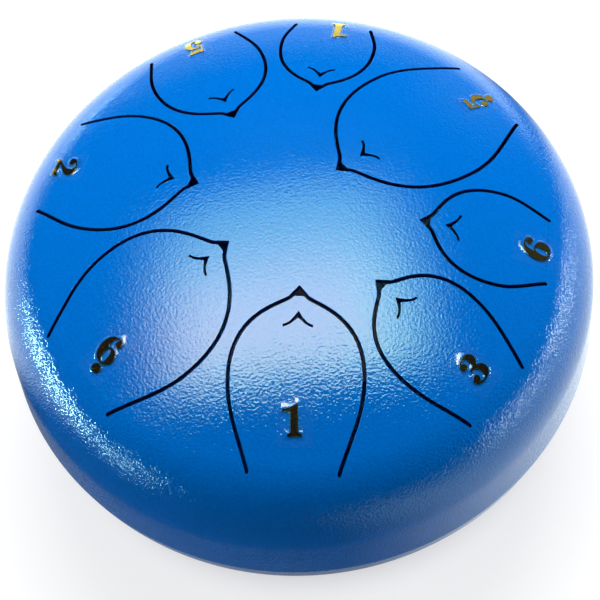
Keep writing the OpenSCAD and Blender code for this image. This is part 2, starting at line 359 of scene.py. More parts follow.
class Workshop:
    """Makes objects from finished meshes, dresses them and puts them on their bodies."""

    def __init__(self) -> None:
        """Makes every finish once."""
        self.materials = {finish: finish.material() for finish in Finish}

    def piece(
        self, name: str, bm: BMesh, finish: Finish, body: str,
        stands_for: Sequence[str] = (), normals: NormalRule | None = None,
    ) -> Object:
        """Turns a finished bmesh in millimetres into a piece of the drum.

        Args:
            name: The piece's name.
            bm: Its mesh, which is freed.
            finish: Its finish.
            body: The CAD body that it moves with.
            stands_for: The CAD nodes that it replaces.
            normals: Gives a corner's true normal from its place, face normal and depth,
                or None where the mesh's own is right.

        Returns:
            The new object.
        """
        bmesh.ops.dissolve_degenerate(bm, dist=SAME_POINT, edges=bm.edges[:])
        bmesh.ops.recalc_face_normals(bm, faces=bm.faces[:])
        mesh = bpy.data.meshes.new(name)
        for face in bm.faces:
            face.smooth = True
        bm.to_mesh(mesh)
        bm.free()
        mesh.set_sharp_from_angle(angle=SHARP_ANGLE)
        if normals is not None:
            self._set_normals(mesh, normals)
        mesh.transform(Matrix.Scale(MM, 4))
        mesh.materials.append(self.materials[finish])
        # Pieces with cut faces also get the material of painted shade.
        if any(face.material_index for face in mesh.polygons):
            mesh.materials.append(self.materials[Finish.CUT])
        piece = placed_in_scene(name, mesh)
        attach(piece, body)
        if stands_for:
            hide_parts(*stands_for)
        LOG.info("%s: %d faces on %s, %s", name, len(mesh.polygons), body, finish.name.lower())
        return piece

    @staticmethod
    def _set_normals(mesh: Mesh, normals: NormalRule) -> None:
        """Gives the corners of the pressed skins the normals of the true surface."""
        depths = mesh.attributes["depth"].data
        corner_normals = [Vector(item.vector) for item in mesh.corner_normals]
        for face in mesh.polygons:
            for corner in face.loop_indices:
                index = mesh.loops[corner].vertex_index
                true = normals(mesh.vertices[index].co, face.normal, depths[index].value)
                if true is not None:
                    corner_normals[corner] = true
        mesh.normals_split_custom_set(corner_normals)


# --- side view of the drum


def arc(x: float, y: float, radius: float, start: float, end: float, steps: int) -> list[Point]:
    """Points on an arc at even angles, with both its ends."""
    angles = [start + (end - start) * i / steps for i in range(steps + 1)]
    return [(x + radius * cos(angle), y + radius * sin(angle)) for angle in angles]


class DrumProfile:
    """Side view of the drum, as in the part's source."""

    drum_r, sheet_t, taper = 77.5, 1.5, radians(6.2)
    crown_r, shoulder_r, wall_h = 162.0, 23.7, 12.9
    base_wall_h, base_corner_r = 3.9, 20.0
    dish_r, sound_hole_r, foot_stand = 228.0, 23.0, 3.8

    base_corner_x = drum_r - base_wall_h * tan(taper) - base_corner_r * cos(taper)
    base_tilt = asin(base_corner_x / (dish_r - base_corner_r))
    dish_z = foot_stand + dish_r
    base_corner_z = dish_z - (dish_r - base_corner_r) * cos(base_tilt)
    seam_z = base_corner_z - base_corner_r * sin(taper) + base_wall_h
    shoulder_x = drum_r - wall_h * tan(taper) - shoulder_r * cos(taper)
    shoulder_z = seam_z + wall_h - shoulder_r * sin(taper)
    crown_tilt = asin(shoulder_x / (crown_r - shoulder_r))
    crown_z = shoulder_z - (crown_r - shoulder_r) * cos(crown_tilt)

    def height(self, r: float, depth: float) -> float:
        """Height of the top shell at a distance from the axis, depth under its outside."""
        if r <= (self.crown_r - depth) * sin(self.crown_tilt):
            return self.crown_z + sqrt((self.crown_r - depth) ** 2 - r * r)
        reach = max((self.shoulder_r - depth) ** 2 - (r - self.shoulder_x) ** 2, 0.0)
        return self.shoulder_z + sqrt(reach)

    def normal(self, place: Vector, depth: float) -> Vector:
        """Outward normal of the top shell at a place depth under its outside."""
        r = hypot(place.x, place.y)
        if r <= (self.crown_r - depth) * sin(self.crown_tilt) and place.z > self.shoulder_z:
            return Vector((place.x, place.y, place.z - self.crown_z)).normalized()
        run, rise = r - self.shoulder_x, place.z - self.shoulder_z
        if rise <= (self.shoulder_r - depth) * sin(self.taper):
            run, rise = cos(self.taper), sin(self.taper)
        length = hypot(run, rise)
        return Vector((place.x / r * run / length, place.y / r * run / length, rise / length))

    def side_line(self, start_r: float, depth: float, arc_steps: int, wall_steps: int) -> list[Point]:
        """Points (r, z) from start_r over the shoulder and down the wall to the seam."""
        radius = self.shoulder_r - depth
        start = acos((start_r - self.shoulder_x) / radius)
        line = arc(self.shoulder_x, self.shoulder_z, radius, start, self.taper, arc_steps)[1:]
        top_r, top_z = line[-1]
        foot_r = self.drum_r - depth / cos(self.taper)
        shares = [step / wall_steps for step in range(1, wall_steps + 1)]
        return line + [(top_r + (foot_r - top_r) * s, top_z + (self.seam_z - top_z) * s) for s in shares]

    def dish_height(self, r: float, depth: float) -> float:
        """Height of the dish at a distance from the axis, depth inside its outside."""
        return self.dish_z - sqrt((self.dish_r - depth) ** 2 - r * r)

    def base_line(self, depth: float, hole_r: float, corner_steps: int, dish_steps: int) -> list[Point]:
        """Points (r, z) from the seam round the lower corner and along the dish to hole_r."""
        radius, end = self.base_corner_r - depth, self.base_tilt - pi / 2
        line = [(self.drum_r - depth / cos(self.taper), self.seam_z)]
        line += arc(self.base_corner_x, self.base_corner_z, radius, -self.taper, end, corner_steps)
        edge_r = line[-1][0]
        radii = [edge_r + (hole_r - edge_r) * step / dish_steps for step in range(1, dish_steps + 1)]
        return line + [(r, self.dish_height(r, depth)) for r in radii]


DRUM = DrumProfile()


# --- flat lines


def bezier(handles: Sequence[Vector], share: float) -> Vector:
    """Point on a cubic curve at a share of its way."""
    rest = 1 - share
    weights = (rest**3, 3 * rest**2 * share, 3 * rest * share**2, share**3)
    return sum((weight * handle for weight, handle in zip(weights, handles)), Vector((0.0, 0.0)))


def bezier_left(handles: Sequence[Vector], share: float) -> Vector:
    """Unit vector to the left of a cubic curve at a share of its way."""
    rest = 1 - share
    first, middle, last = (end - start for start, end in zip(handles, handles[1:]))
    way = rest**2 * first + 2 * rest * share * middle + share**2 * last
    return Vector((-way.y, way.x)).normalized()


def curve(handles: Sequence[Vector], steps: int) -> list[Vector]:
    """Points on a cubic curve, with both its ends."""
    return [bezier(handles, i / steps) for i in range(steps + 1)]


def eased(share: float) -> float:
    """Eases a share from 0 to 1 and holds it there."""
    share = min(max(share, 0.0), 1.0)
    return share * share * (3 - 2 * share)


def mirrored(side: Sequence[Vector]) -> list[Vector]:
    """The points of one side in reverse order on the other side of the X axis."""
    return [Vector((point.x, -point.y)) for point in reversed(side)]


def corner_shift(left_in: Vector, by_in: float, left_out: Vector, by_out: float) -> Vector:
    """How a corner moves when its two edges move to their left by their own amounts."""
    turn = left_in.x * left_out.y - left_in.y * left_out.x
    if abs(turn) < PARALLEL:
        return (left_in + left_out).normalized() * (by_in + by_out) / 2
    x, y = by_in * left_out.y - by_out * left_in.y, by_out * left_in.x - by_in * left_out.x
    return Vector((x / turn, y / turn))


def set_out(radius: float, bearing: float, turn: float) -> Matrix:
    """Turns a shape and moves it out from the drum's axis. The angles are in degrees."""
    angle = radians(bearing)
    move = Matrix.Translation((radius * cos(angle), radius * sin(angle), 0.0))
    return move @ Matrix.Rotation(radians(turn), 4, "Z")


@dataclass
class Outline:
    """A closed flat line. The edges that start at the points in held stay where they are."""

    points: list[Vector]
    held: frozenset[int] = frozenset()

    @cached_property
    def edges(self) -> list[tuple[Vector, Vector]]:
        """The start and the end of each edge."""
        return list(zip(self.points, self.points[1:] + self.points[:1]))

    def grown(self, distance: float) -> "Outline":
        """The line moved outwards by distance, but for its held edges."""
        area = sum(start.x * end.y - end.x * start.y for start, end in self.edges)
        shift = -distance if area > 0 else distance
        lefts = [Vector((start.y - end.y, end.x - start.x)).normalized() for start, end in self.edges]
        by = [0.0 if i in self.held else shift for i in range(len(self.points))]
        steps = [corner_shift(lefts[i - 1], by[i - 1], lefts[i], by[i]) for i in range(len(by))]
        return Outline([point + step for point, step in zip(self.points, steps)], self.held)

    def bolder(self, distance: float, kept: float = 0.97) -> "Outline":
        """The line moved outwards (below zero inwards), less what folds over in its notches."""
        moved = self.grown(distance).points
        return Outline([point for point in moved if self.way_to(point).length > kept * abs(distance)])

    def holds(self, place: Vector) -> bool:
        """Whether a place lies inside the line."""
        inside = False
        for start, end in self.edges:
            if (start.y > place.y) != (end.y > place.y):
                inside ^= place.x < start.x + (place.y - start.y) * (end.x - start.x) / (end.y - start.y)
        return inside

    def way_to(self, place: Vector) -> Vector:
        """The shortest step from a place to the line."""
        steps = []
        for start, end in self.edges:
            side = end - start
            share = (place - start).dot(side) / max(side.length_squared, 1e-9)
            steps.append(start + min(max(share, 0.0), 1.0) * side - place)
        return min(steps, key=lambda step: step.length_squared)

    def placed(self, matrix: Matrix) -> "Outline":
        """The line turned and moved by a matrix."""
        return Outline([(matrix @ point.to_3d()).to_2d() for point in self.points], self.held)


def circle(radius: float, steps: int) -> Outline:
    """A circle round the origin."""
    return Outline([Vector(point) for point in arc(0, 0, radius, 0, 2 * pi, steps)[:-1]])


# --- tongues in plan


class SlotCut:
    """How every slot is cut round its tongue, as in the part's source."""

    ring_r, width, root_gap, steps = 64.0, 0.8, 0.022, 26
    knee, knee_angle, knee_pull = (2.8, 2.0), radians(42), 0.17
    knee_way = Vector((cos(knee_angle), sin(knee_angle)))
    widest_in, widest_out = 0.8, 0.35
    root_pull, root_turn, end_steps = 0.5, 1.3, 10
    nose_gap, nose_side, nose_knee, nose_steps = 2.5, 0.5, 0.45, 12
    chevron, chevron_point, chevron_end = (3.1, 3.4), 1.4, 0.4
    arm_start, arm_end, arm_steps = (0.34, 0.22), (0.92, 0.52), 16


CUT = SlotCut()


@dataclass(frozen=True)
class TonguePlan:
    """One tongue: its name, and its sizes as shares of the slot ring.

    The angles are the bearing of its tip and the lean of its axis against it, in degrees.
    """

    name: str
    bearing: float
    lean: float
    tip: float
    length: float
    half_width: float
    root_half_width: float
    widest: float
    chevron: float

    @cached_property
    def place(self) -> Matrix:
        """Turns and moves a shape from the tongue's own frame, its tip at the origin."""
        return set_out(self.tip * CUT.ring_r, self.bearing, self.bearing + self.lean)

    @cached_property
    def front(self) -> list[Vector]:
        """Handles of the cut's middle line from the knee to the widest place."""
        knee = Vector(CUT.knee)
        wide = Vector((self.widest * self.length, self.half_width)) * CUT.ring_r
        pull = CUT.knee_pull * (wide.y - knee.y)
        return [knee, knee + pull * CUT.knee_way, wide - Vector((CUT.widest_in * (wide.x - knee.x), 0)), wide]

    @cached_property
    def rear(self) -> list[Vector]:
        """Handles of the cut's middle line from the widest place to the root."""
        wide = self.front[3]
        root = Vector((self.length, self.root_half_width)) * CUT.ring_r
        run = root.x - wide.x
        turn = CUT.root_turn * atan((wide.y - root.y) / run)
        way = Vector((cos(turn), -sin(turn)))
        return [wide, wide + Vector((CUT.widest_out * run, 0)), root - CUT.root_pull * run * way, root]

    def _edge(self, shift: float) -> list[Vector]:
        """One edge of the cut from the knee to the root, shift to the left of its middle."""
        shares = [i / CUT.steps for i in range(CUT.steps + 1)]
        line = [bezier(self.front, s) + shift * bezier_left(self.front, s) for s in shares]
        return line + [bezier(self.rear, s) + shift * bezier_left(self.rear, s) for s in shares[1:]]

    @cached_property
    def inner_edge(self) -> list[Vector]:
        """The tongue's own edge from the knee to the root."""
        return self._edge(-CUT.width / 2)

    @staticmethod
    def _closed(side: list[Vector]) -> Outline:
        """A side and its mirror image, with the edge at the root held."""
        return Outline(side + mirrored(side)[:-1], frozenset([len(side) - 1]))

    def tongue(self) -> Outline:
        """Outline of the tongue in its own frame."""
        knee = self.inner_edge[0]
        start = Vector((CUT.nose_gap, 0))
        first = Vector((CUT.nose_gap, CUT.nose_side * CUT.knee[1]))
        nose = curve([start, first, knee - CUT.nose_knee * CUT.knee[1] * CUT.knee_way, knee], CUT.nose_steps)
        return self._closed(nose + self.inner_edge[1:])

    def opening(self) -> Outline:
        """Outline of the hole in the shell that the tongue lies in, in the tongue's frame."""
        edge = self._edge(CUT.width / 2)
        centre, root = self.rear[3], self.inner_edge[-1]
        end = edge[-1] - centre
        turns = [Matrix.Rotation(-pi * i / CUT.end_steps, 2) for i in range(1, CUT.end_steps)]
        round_end = [centre + turn @ end for turn in turns]
        return self._closed([Vector((0, 0))] + edge + round_end + [Vector((root.x + CUT.root_gap, root.y))])

    def chevron_cut(self) -> Outline:
        """Outline of the chevron-shaped hole behind the tongue's tip."""
        length, half = CUT.chevron
        shares = ((0, 0), CUT.arm_start, CUT.arm_end, (1, 1))
        outer = curve([Vector((along * length, across * half)) for along, across in shares], CUT.arm_steps)
        taper = CUT.chevron_point - CUT.chevron_end
        depths = [CUT.chevron_end + taper * (1 - i / CUT.arm_steps) ** 2 for i in range(CUT.arm_steps + 1)]
        inner = [point + Vector((depth, 0)) for point, depth in zip(outer, depths)]
        side = outer + inner[::-1]
        start = Vector((self.chevron * CUT.ring_r, 0))
        return Outline([point + start for point in side + mirrored(side)[1:-1]])


# --- pressed plates


@dataclass
class PressedPlate:
    """A flat plate with cut edges, pressed to the drum's dome.

    Its cut lines are drawn in by edge_r, and with an open rim they are rounded back out.
    With painted_shade_cuts, the faces down each cut get the second material, which is painted shade.
    """

    thickness: float
    edge_r: float
    cell: float
    # Whether the faces down each cut get painted shade.
    painted_shade_cuts: bool = False
    bm: BMesh = field(default_factory=bmesh.new)

    ROUND = ((1.0, 0.0), (0.5, 0.134), (0.134, 0.5), (0.0, 1.0))
    GRID_SHIFT = 0.37
    OUTER_SKIN, INNER_SKIN = 0.8, 0.98

    def cut(self, rim: Outline, holes: Iterable[Outline] = ()) -> None:
        """Fills the plate between its rim and its holes and cuts it into small cells."""
        bm = self.bm
        for outline in [rim.grown(-self.edge_r)] + [hole.grown(self.edge_r) for hole in holes]:
            corners = [bm.verts.new((point.x, point.y, 0.0)) for point in outline.points]
            for i, corner in enumerate(corners):
                edge = bm.edges.new((corner, corners[(i + 1) % len(corners)]))
                edge.seam = i in outline.held
        bmesh.ops.triangle_fill(bm, use_beauty=True, edges=bm.edges[:], normal=(0.0, 0.0, 1.0))
        for axis in (0, 1):
            places = [vert.co[axis] for vert in bm.verts]
            for step in range(ceil(min(places) / self.cell), floor(max(places) / self.cell) + 1):
                at, way = Vector(), Vector()
                at[axis], way[axis] = (step + self.GRID_SHIFT) * self.cell, 1.0
                geom = bm.verts[:] + bm.edges[:] + bm.faces[:]
                bmesh.ops.bisect_plane(bm, geom=geom, dist=SAME_POINT, plane_co=at, plane_no=way)

    def thicken(self, open_rim_r: float = 0.0) -> None:
        """Gives the flat plate its thickness, as levels down the side of every cut.

        Args:
            open_rim_r: A radius at which the rim is left open, for the wall to go on from.
                The upper edges of the cuts inside it are rounded.
        """
        bm, cuts = self.bm, len(self.ROUND)
        outset = bm.verts.layers.float_vector.new("outset")
        inside_r = open_rim_r - RIM_SLACK
        for vert in bm.verts:
            rim = [edge for edge in vert.link_edges if edge.is_boundary]
            if len(rim) == 2 and hypot(vert.co.x, vert.co.y) < inside_r:
                vert[outset] = self._outset(vert, rim)
        made = bmesh.ops.extrude_face_region(bm, geom=bm.faces[:])["geom"]
        upper = {item for item in made if isinstance(item, BMVert)}
        for vert in bm.verts:
            vert.co.z = 0.0 if vert in upper else -self.thickness
        sides = [edge for edge in bm.edges if (edge.verts[0] in upper) != (edge.verts[1] in upper)]
        if open_rim_r:
            rim = {e for e in sides if hypot(e.verts[0].co.x, e.verts[0].co.y) > inside_r}
            walls = {face for edge in rim for face in edge.link_faces}
            bmesh.ops.delete(bm, geom=list(walls), context="FACES")
            sides = [edge for edge in sides if edge.is_valid]
        bmesh.ops.subdivide_edges(bm, edges=sides, cuts=cuts, use_grid_fill=True)
        outset = bm.verts.layers.float_vector["outset"]
        levels = [*self.ROUND, (0.0, self.thickness / self.edge_r), (1.0, self.thickness / self.edge_r)]
        for vert in bm.verts:
            inset, drop = levels[round(-vert.co.z / self.thickness * (cuts + 1))]
            shift = vert[outset] * self.edge_r * (1 - inset)
            vert.co = Vector((vert.co.x + shift.x, vert.co.y + shift.y, -drop * self.edge_r))
        # Faces that run down a cut get material 1, the painted shade.
        for face in bm.faces if self.painted_shade_cuts else ():
            heights = [vert.co.z for vert in face.verts]
            face.material_index = int(max(heights) - min(heights) > self.thickness / 2)

    @staticmethod
    def _outset(vert: BMVert, rim: Sequence[BMEdge]) -> Vector:
        """How a rim vertex moves while the rim grows by one, but for its held edges."""
        parts = []
        for edge in rim:
            start, end = (corner.co for corner in edge.verts)
            way = (end - start).normalized()
            out = Vector((-way.y, way.x))
            if out.dot((edge.link_faces[0].calc_center_median() - (start + end) / 2).to_2d()) > 0:
                out = -out
            parts += [out, 0.0 if edge.seam else 1.0]
        return corner_shift(*parts).to_3d()

    def press(self, lift: Callable[[Vector], float] | None = None) -> None:
        """Presses the flat plate to the dome, and notes each corner's depth under its outside.

        Args:
            lift: How far above the shell's outside the plate's upper face lies at a place.
        """
        depths = self.bm.verts.layers.float.new("depth")
        for vert in self.bm.verts:
            depth = -vert.co.z - (lift(vert.co) if lift else 0.0)
            vert[depths] = depth
            vert.co.z = DRUM.height(hypot(vert.co.x, vert.co.y), depth)

    def true_normal(self, place: Vector, face_normal: Vector, depth: float) -> Vector | None:
        """The dome's own normal on the plate's outer and inner skin."""
        normal = DRUM.normal(place, depth)
        if depth < SAME_DEPTH and face_normal.dot(normal) > self.OUTER_SKIN:
            return normal
        if depth > self.thickness - SAME_DEPTH and face_normal.dot(normal) < -self.INNER_SKIN:
            return -normal
        return None


# --- steel and rubber parts


@dataclass
class TopShell:
    """Pressed dome, shoulder and side wall in one sheet, with an opening for each tongue."""

    plans: Sequence[TonguePlan]

    plate_r, edge_r, cell, rim_steps = 68.0, 0.11, 1.6, 360
    wall_steps = ((0.0, 18, 5), (DRUM.sheet_t, 9, 2))

    def build(self, workshop: Workshop) -> Object:
        """Makes the top shell."""
        # The last True gives the cut faces painted shade.
        plate = PressedPlate(DRUM.sheet_t, self.edge_r, self.cell, True)
        rim = circle(self.plate_r + self.edge_r, self.rim_steps)
        plate.cut(rim, [plan.opening().placed(plan.place) for plan in self.plans])
        for vert in plate.bm.verts:
            flat = vert.co.to_2d()
            if flat.length > self.plate_r - RIM_SLACK:
                vert.co = (flat.normalized() * self.plate_r).to_3d()
        plate.thicken(self.plate_r)
        plate.press()
        self._wall(plate.bm)
        return workshop.piece("shell_top", plate.bm, Finish.COAT, "shell", ["top_shell"], plate.true_normal)

    def _wall(self, bm: BMesh) -> None:
        """Draws the plate's rim over the shoulder and down to the seam, outside and inside."""
        depths = bm.verts.layers.float["depth"]
        rim = [edge for edge in bm.edges if edge.is_boundary]
        ends = []
        for depth, arc_steps, wall_steps in self.wall_steps:
            ring = [edge for edge in rim if abs(edge.verts[0][depths] - depth) < SAME_DEPTH]
            for r, z in DRUM.side_line(self.plate_r, depth, arc_steps, wall_steps):
                made = bmesh.ops.extrude_edge_only(bm, edges=ring)["geom"]
                for vert in (item for item in made if isinstance(item, BMVert)):
                    flat = vert.co.to_2d().normalized() * r
                    vert.co = Vector((flat.x, flat.y, z))
                ring = [item for item in made if isinstance(item, BMEdge) and item.is_boundary]
            ends += ring
        bmesh.ops.bridge_loops(bm, edges=ends)


@dataclass
class Tongue:
    """One tongue, cut free round its tip and sides, with its chevron."""

    plan: TonguePlan

    edge_r, cell = 0.11, 1.3

    def build(self, workshop: Workshop) -> Object:
        """Makes the tongue."""
        # The last True gives the cut faces painted shade.
        plate = PressedPlate(DRUM.sheet_t, self.edge_r, self.cell, True)
        plate.cut(self.plan.tongue(), [self.plan.chevron_cut()])
        plate.thicken()
        plate.bm.transform(self.plan.place)
        plate.press()
        name, body, node = (f"{word}_{self.plan.name}" for word in ("steel_tongue", "note", "tongue"))
        return workshop.piece(name, plate.bm, Finish.COAT, body, [node], plate.true_normal)


def spun(section: Sequence[Point], steps: int, closed: bool) -> BMesh:
    """Spins a half section (r, z) round the Z axis.

    Args:
        section: Its points, the first and last on the axis where it isn't closed.
        steps: How many steps the full turn has.
        closed: Whether the last point joins the first.

    Returns:
        The new mesh.
    """
    bm = bmesh.new()
    points = [bm.verts.new((r, 0.0, z)) for r, z in section]
    pairs = list(zip(points, points[1:])) + ([(points[-1], points[0])] if closed else [])
    geom = points + [bm.edges.new(pair) for pair in pairs]
    turn = {"cent": (0, 0, 0), "axis": (0, 0, 1), "angle": 2 * pi, "steps": steps}
    bmesh.ops.spin(bm, geom=geom, use_merge=True, **turn)
    bmesh.ops.remove_doubles(bm, verts=bm.verts[:], dist=SAME_SPUN)
    return bm


class BottomShell:
    """Pressed bottom with its corner, shallow dish and sound hole."""

    edge_r, lip_steps, outer_steps, inner_steps = 0.3, 4, (24, 24), (14, 12)

    def build(self, workshop: Workshop) -> Object:
        """Makes the bottom shell."""
        edge_r = self.edge_r
        lip_r = DRUM.sound_hole_r + edge_r
        outer = DRUM.base_line(0.0, lip_r, *self.outer_steps)
        inner = DRUM.base_line(DRUM.sheet_t, lip_r, *self.inner_steps)
        low, high = outer[-1][1], inner[-1][1]
        lip = arc(lip_r, low + edge_r, edge_r, -pi / 2, -pi, self.lip_steps)[1:]
        lip += [(r, high - (z - low)) for r, z in reversed(lip)]
        bm = spun(outer + lip + inner[::-1], TURN_STEPS, True)
        return workshop.piece("shell_bottom", bm, Finish.COAT, "shell", ["bottom_shell"])


class WeldSeam:
    """The weld between the shells, ground almost flush and coated over."""

    width, depth, crown, steps = 1.6, 1.0, 0.06, 4

    def build(self, workshop: Workshop) -> Object:
        """Makes the weld."""
        half = self.width / 2
        flat = DRUM.drum_r - half * tan(DRUM.taper)
        section = [(DRUM.drum_r - self.depth, DRUM.seam_z)]
        for rise in (half * i / self.steps for i in range(-self.steps, self.steps + 1)):
            section.append((flat + self.crown * (1 - (rise / half) ** 2), DRUM.seam_z + rise))
        bm = spun(section, TURN_STEPS, True)
        return workshop.piece("weld_band", bm, Finish.COAT, "shell", ["weld_seam"])


class Rests(Enum):
    """What the height of a point of a foot is counted from."""

    GROUND = 0
    UNDER_DISH = 1
    IN_DISH = 2


@dataclass
class Foot:
    """Push-in rubber foot: a pad under the dish, a stem through it and a barb inside."""

    name: str
    bearing: float

    ring_r, pad_r, edge_r, stem_r = 46.0, 7.0, 1.2, 3.0
    hollow_h, hollow_slope, hollow_in = 0.35, 0.4, 3.0
    pad_edge = ((0.0, 0.5), (0.15, 0.15))
    barb_r, barb_h, barb_side_h, barb_point_h, slack = 4.3, 4.0, 0.5, 0.2, 0.02
    edge_steps, turn_steps = 6, 72
    STOREY = 100

    def build(self, workshop: Workshop) -> Object:
        """Makes the foot, spun with a storey for each kind of height and set on the dish."""
        centre, flat_r = self.pad_r - self.edge_r, self.pad_r - self.pad_edge[0][1]
        hollow_r = centre - self.hollow_in
        ground = [(0.0, self.hollow_h), (hollow_r - self.hollow_slope, self.hollow_h), (hollow_r, 0.0)]
        ground += arc(centre, self.edge_r, self.edge_r, -pi / 2, 0.0, self.edge_steps)
        under = [(self.pad_r - inset, -drop) for inset, drop in self.pad_edge]
        under += [(flat_r, -self.slack), (self.stem_r, -self.slack)]
        inside = [(self.stem_r, self.slack), (self.barb_r, self.slack), (self.barb_r, self.barb_side_h)]
        inside += [(self.stem_r / 2, self.barb_h), (0.0, self.barb_h + self.barb_point_h)]
        storeys = zip(Rests, (ground, under, inside))
        section = [(r, z + self.STOREY * kind.value) for kind, line in storeys for r, z in line]
        bm = spun(section, self.turn_steps, False)
        bm.transform(set_out(self.ring_r, self.bearing, 0.0))
        for vert in bm.verts:
            kind = Rests(round(vert.co.z / self.STOREY))
            if kind is not Rests.GROUND:
                depth = 0.0 if kind is Rests.UNDER_DISH else DRUM.sheet_t
                base = DRUM.dish_height(hypot(vert.co.x, vert.co.y), depth)
                vert.co.z = base + vert.co.z - self.STOREY * kind.value
        return workshop.piece(f"rubber_foot_{self.name}", bm, Finish.RUBBER, "shell", [f"foot_{self.name}"])


# --- note stickers


class Glyph(Enum):
    """Plain bold note numbers, drawn in a box 100 high and centred on its width.

    Each path starts with a point. Two more numbers are a straight step, and six are a
    curve with its two handles.
    """

    ONE = (
        ((-21, 0), (21, 0), (21, 8), (14, 9, 11, 11, 11, 17), (11, 100), (4, 100),
         (-3, 93, -13, 88, -33, 86), (-33, 78), (-11, 79), (-11, 17), (-11, 11, -14, 9, -21, 8)),
    )
    TWO = (
        ((-30, 72), (-30, 89, -16, 100, 3, 100), (21, 100, 32, 90, 32, 74), (32, 57, 19, 47, 3, 35),
         (-5, 29, -10, 25, -13, 20), (-5, 24, 5, 22, 12, 19), (19, 16, 24, 18, 26, 27), (32, 27),
         (32, 10, 27, 0, 17, 0), (7, 0, -3, 8, -13, 8), (-20, 8, -24, 5, -26, 0), (-32, 0),
         (-31, 15, -23, 25, -11, 37), (3, 51, 10, 61, 10, 76), (10, 87, 5, 94, -3, 94),
         (-9, 94, -13, 91, -15, 87), (-9, 84, -6, 80, -6, 74), (-6, 66, -11, 61, -18, 61),
         (-25, 61, -30, 66, -30, 72)),
    )
    THREE = (
        ((-28, 76), (-28, 90, -15, 100, 2, 100), (18, 100, 28, 90, 28, 76), (28, 64, 21, 56, 11, 53),
         (23, 50, 32, 41, 32, 27), (32, 10, 18, 0, 0, 0), (-18, 0, -30, 9, -30, 23),
         (-30, 31, -24, 36, -17, 36), (-10, 36, -5, 31, -5, 25), (-5, 19, -8, 15, -13, 12),
         (-11, 8, -6, 6, -1, 6), (6, 6, 10, 13, 10, 26), (10, 42, 4, 49, -8, 49), (-13, 49), (-13, 56),
         (-8, 56), (2, 56, 7, 62, 7, 75), (7, 88, 3, 94, -4, 94), (-9, 94, -12, 92, -14, 88),
         (-9, 86, -6, 82, -6, 77), (-6, 70, -11, 66, -17, 66), (-24, 66, -28, 70, -28, 76)),
    )
    FIVE = (
        ((-23, 100), (-10, 96, 9, 96, 24, 100), (28, 100), (27, 87, 17, 79, 1, 79),
         (-7, 79, -13, 81, -17, 82), (-19, 57), (-12, 62, -4, 65, 4, 65), (20, 65, 32, 54, 32, 34),
         (32, 13, 18, 0, -2, 0), (-19, 0, -30, 9, -30, 22), (-30, 30, -25, 36, -17, 36),
         (-10, 36, -6, 31, -6, 24), (-6, 18, -9, 14, -14, 11), (-12, 8, -8, 6, -3, 6),
         (6, 6, 10, 16, 10, 33), (10, 50, 6, 58, -3, 58), (-10, 58, -16, 54, -20, 48), (-26, 49)),
    )
    SIX = (
        ((28, 81), (28, 92, 19, 100, 6, 100), (-18, 100, -32, 74, -32, 45), (-32, 17, -19, 0, 1, 0),
         (19, 0, 32, 12, 32, 31), (32, 49, 20, 61, 5, 61), (-1, 61, -5, 59, -9, 55),
         (-8, 80, -3, 94, 6, 94), (10, 94, 12, 93, 13, 91), (9, 89, 6, 86, 6, 80), (6, 74, 11, 70, 17, 70),
         (23, 70, 28, 74, 28, 81)),
        ((-9, 31), (-9, 46, -5, 54, 1, 54), (8, 54, 10, 46, 10, 31), (10, 14, 7, 6, 1, 6),
         (-6, 6, -9, 14, -9, 31)),
    )
    DOT = (
        ((-16, -20), (-16, -11, -9, -4, 0, -4), (9, -4, 16, -11, 16, -20), (16, -29, 9, -36, 0, -36),
         (-9, -36, -16, -29, -16, -20)),
    )

    def outlines(self, height: float, middle: float, wider: float = 1.2, steps: int = 7) -> list[Outline]:
        """The glyph's closed lines in a sticker's frame, its top towards the drum's middle.

        Args:
            height: Height of a number in millimetres.
            middle: The height in the glyph's box that lies on the sticker's centre.
            wider: How much wider than drawn the glyph is set.
            steps: Steps along each curve.

        Returns:
            The outer line first, then the holes.
        """
        scale = height / 100
        lines = []
        for path in self.value:
            points = [Vector(path[0])]
            for step in path[1:]:
                handles = [Vector(step[i : i + 2]) for i in range(0, len(step), 2)]
                points += curve([points[-1], *handles], steps)[1:] if len(handles) > 1 else handles
            if (points[0] - points[-1]).length < 0.01:
                points.pop()
            lines.append(Outline([Vector(((middle - p.y) * scale, p.x * scale * wider)) for p in points]))
        return lines


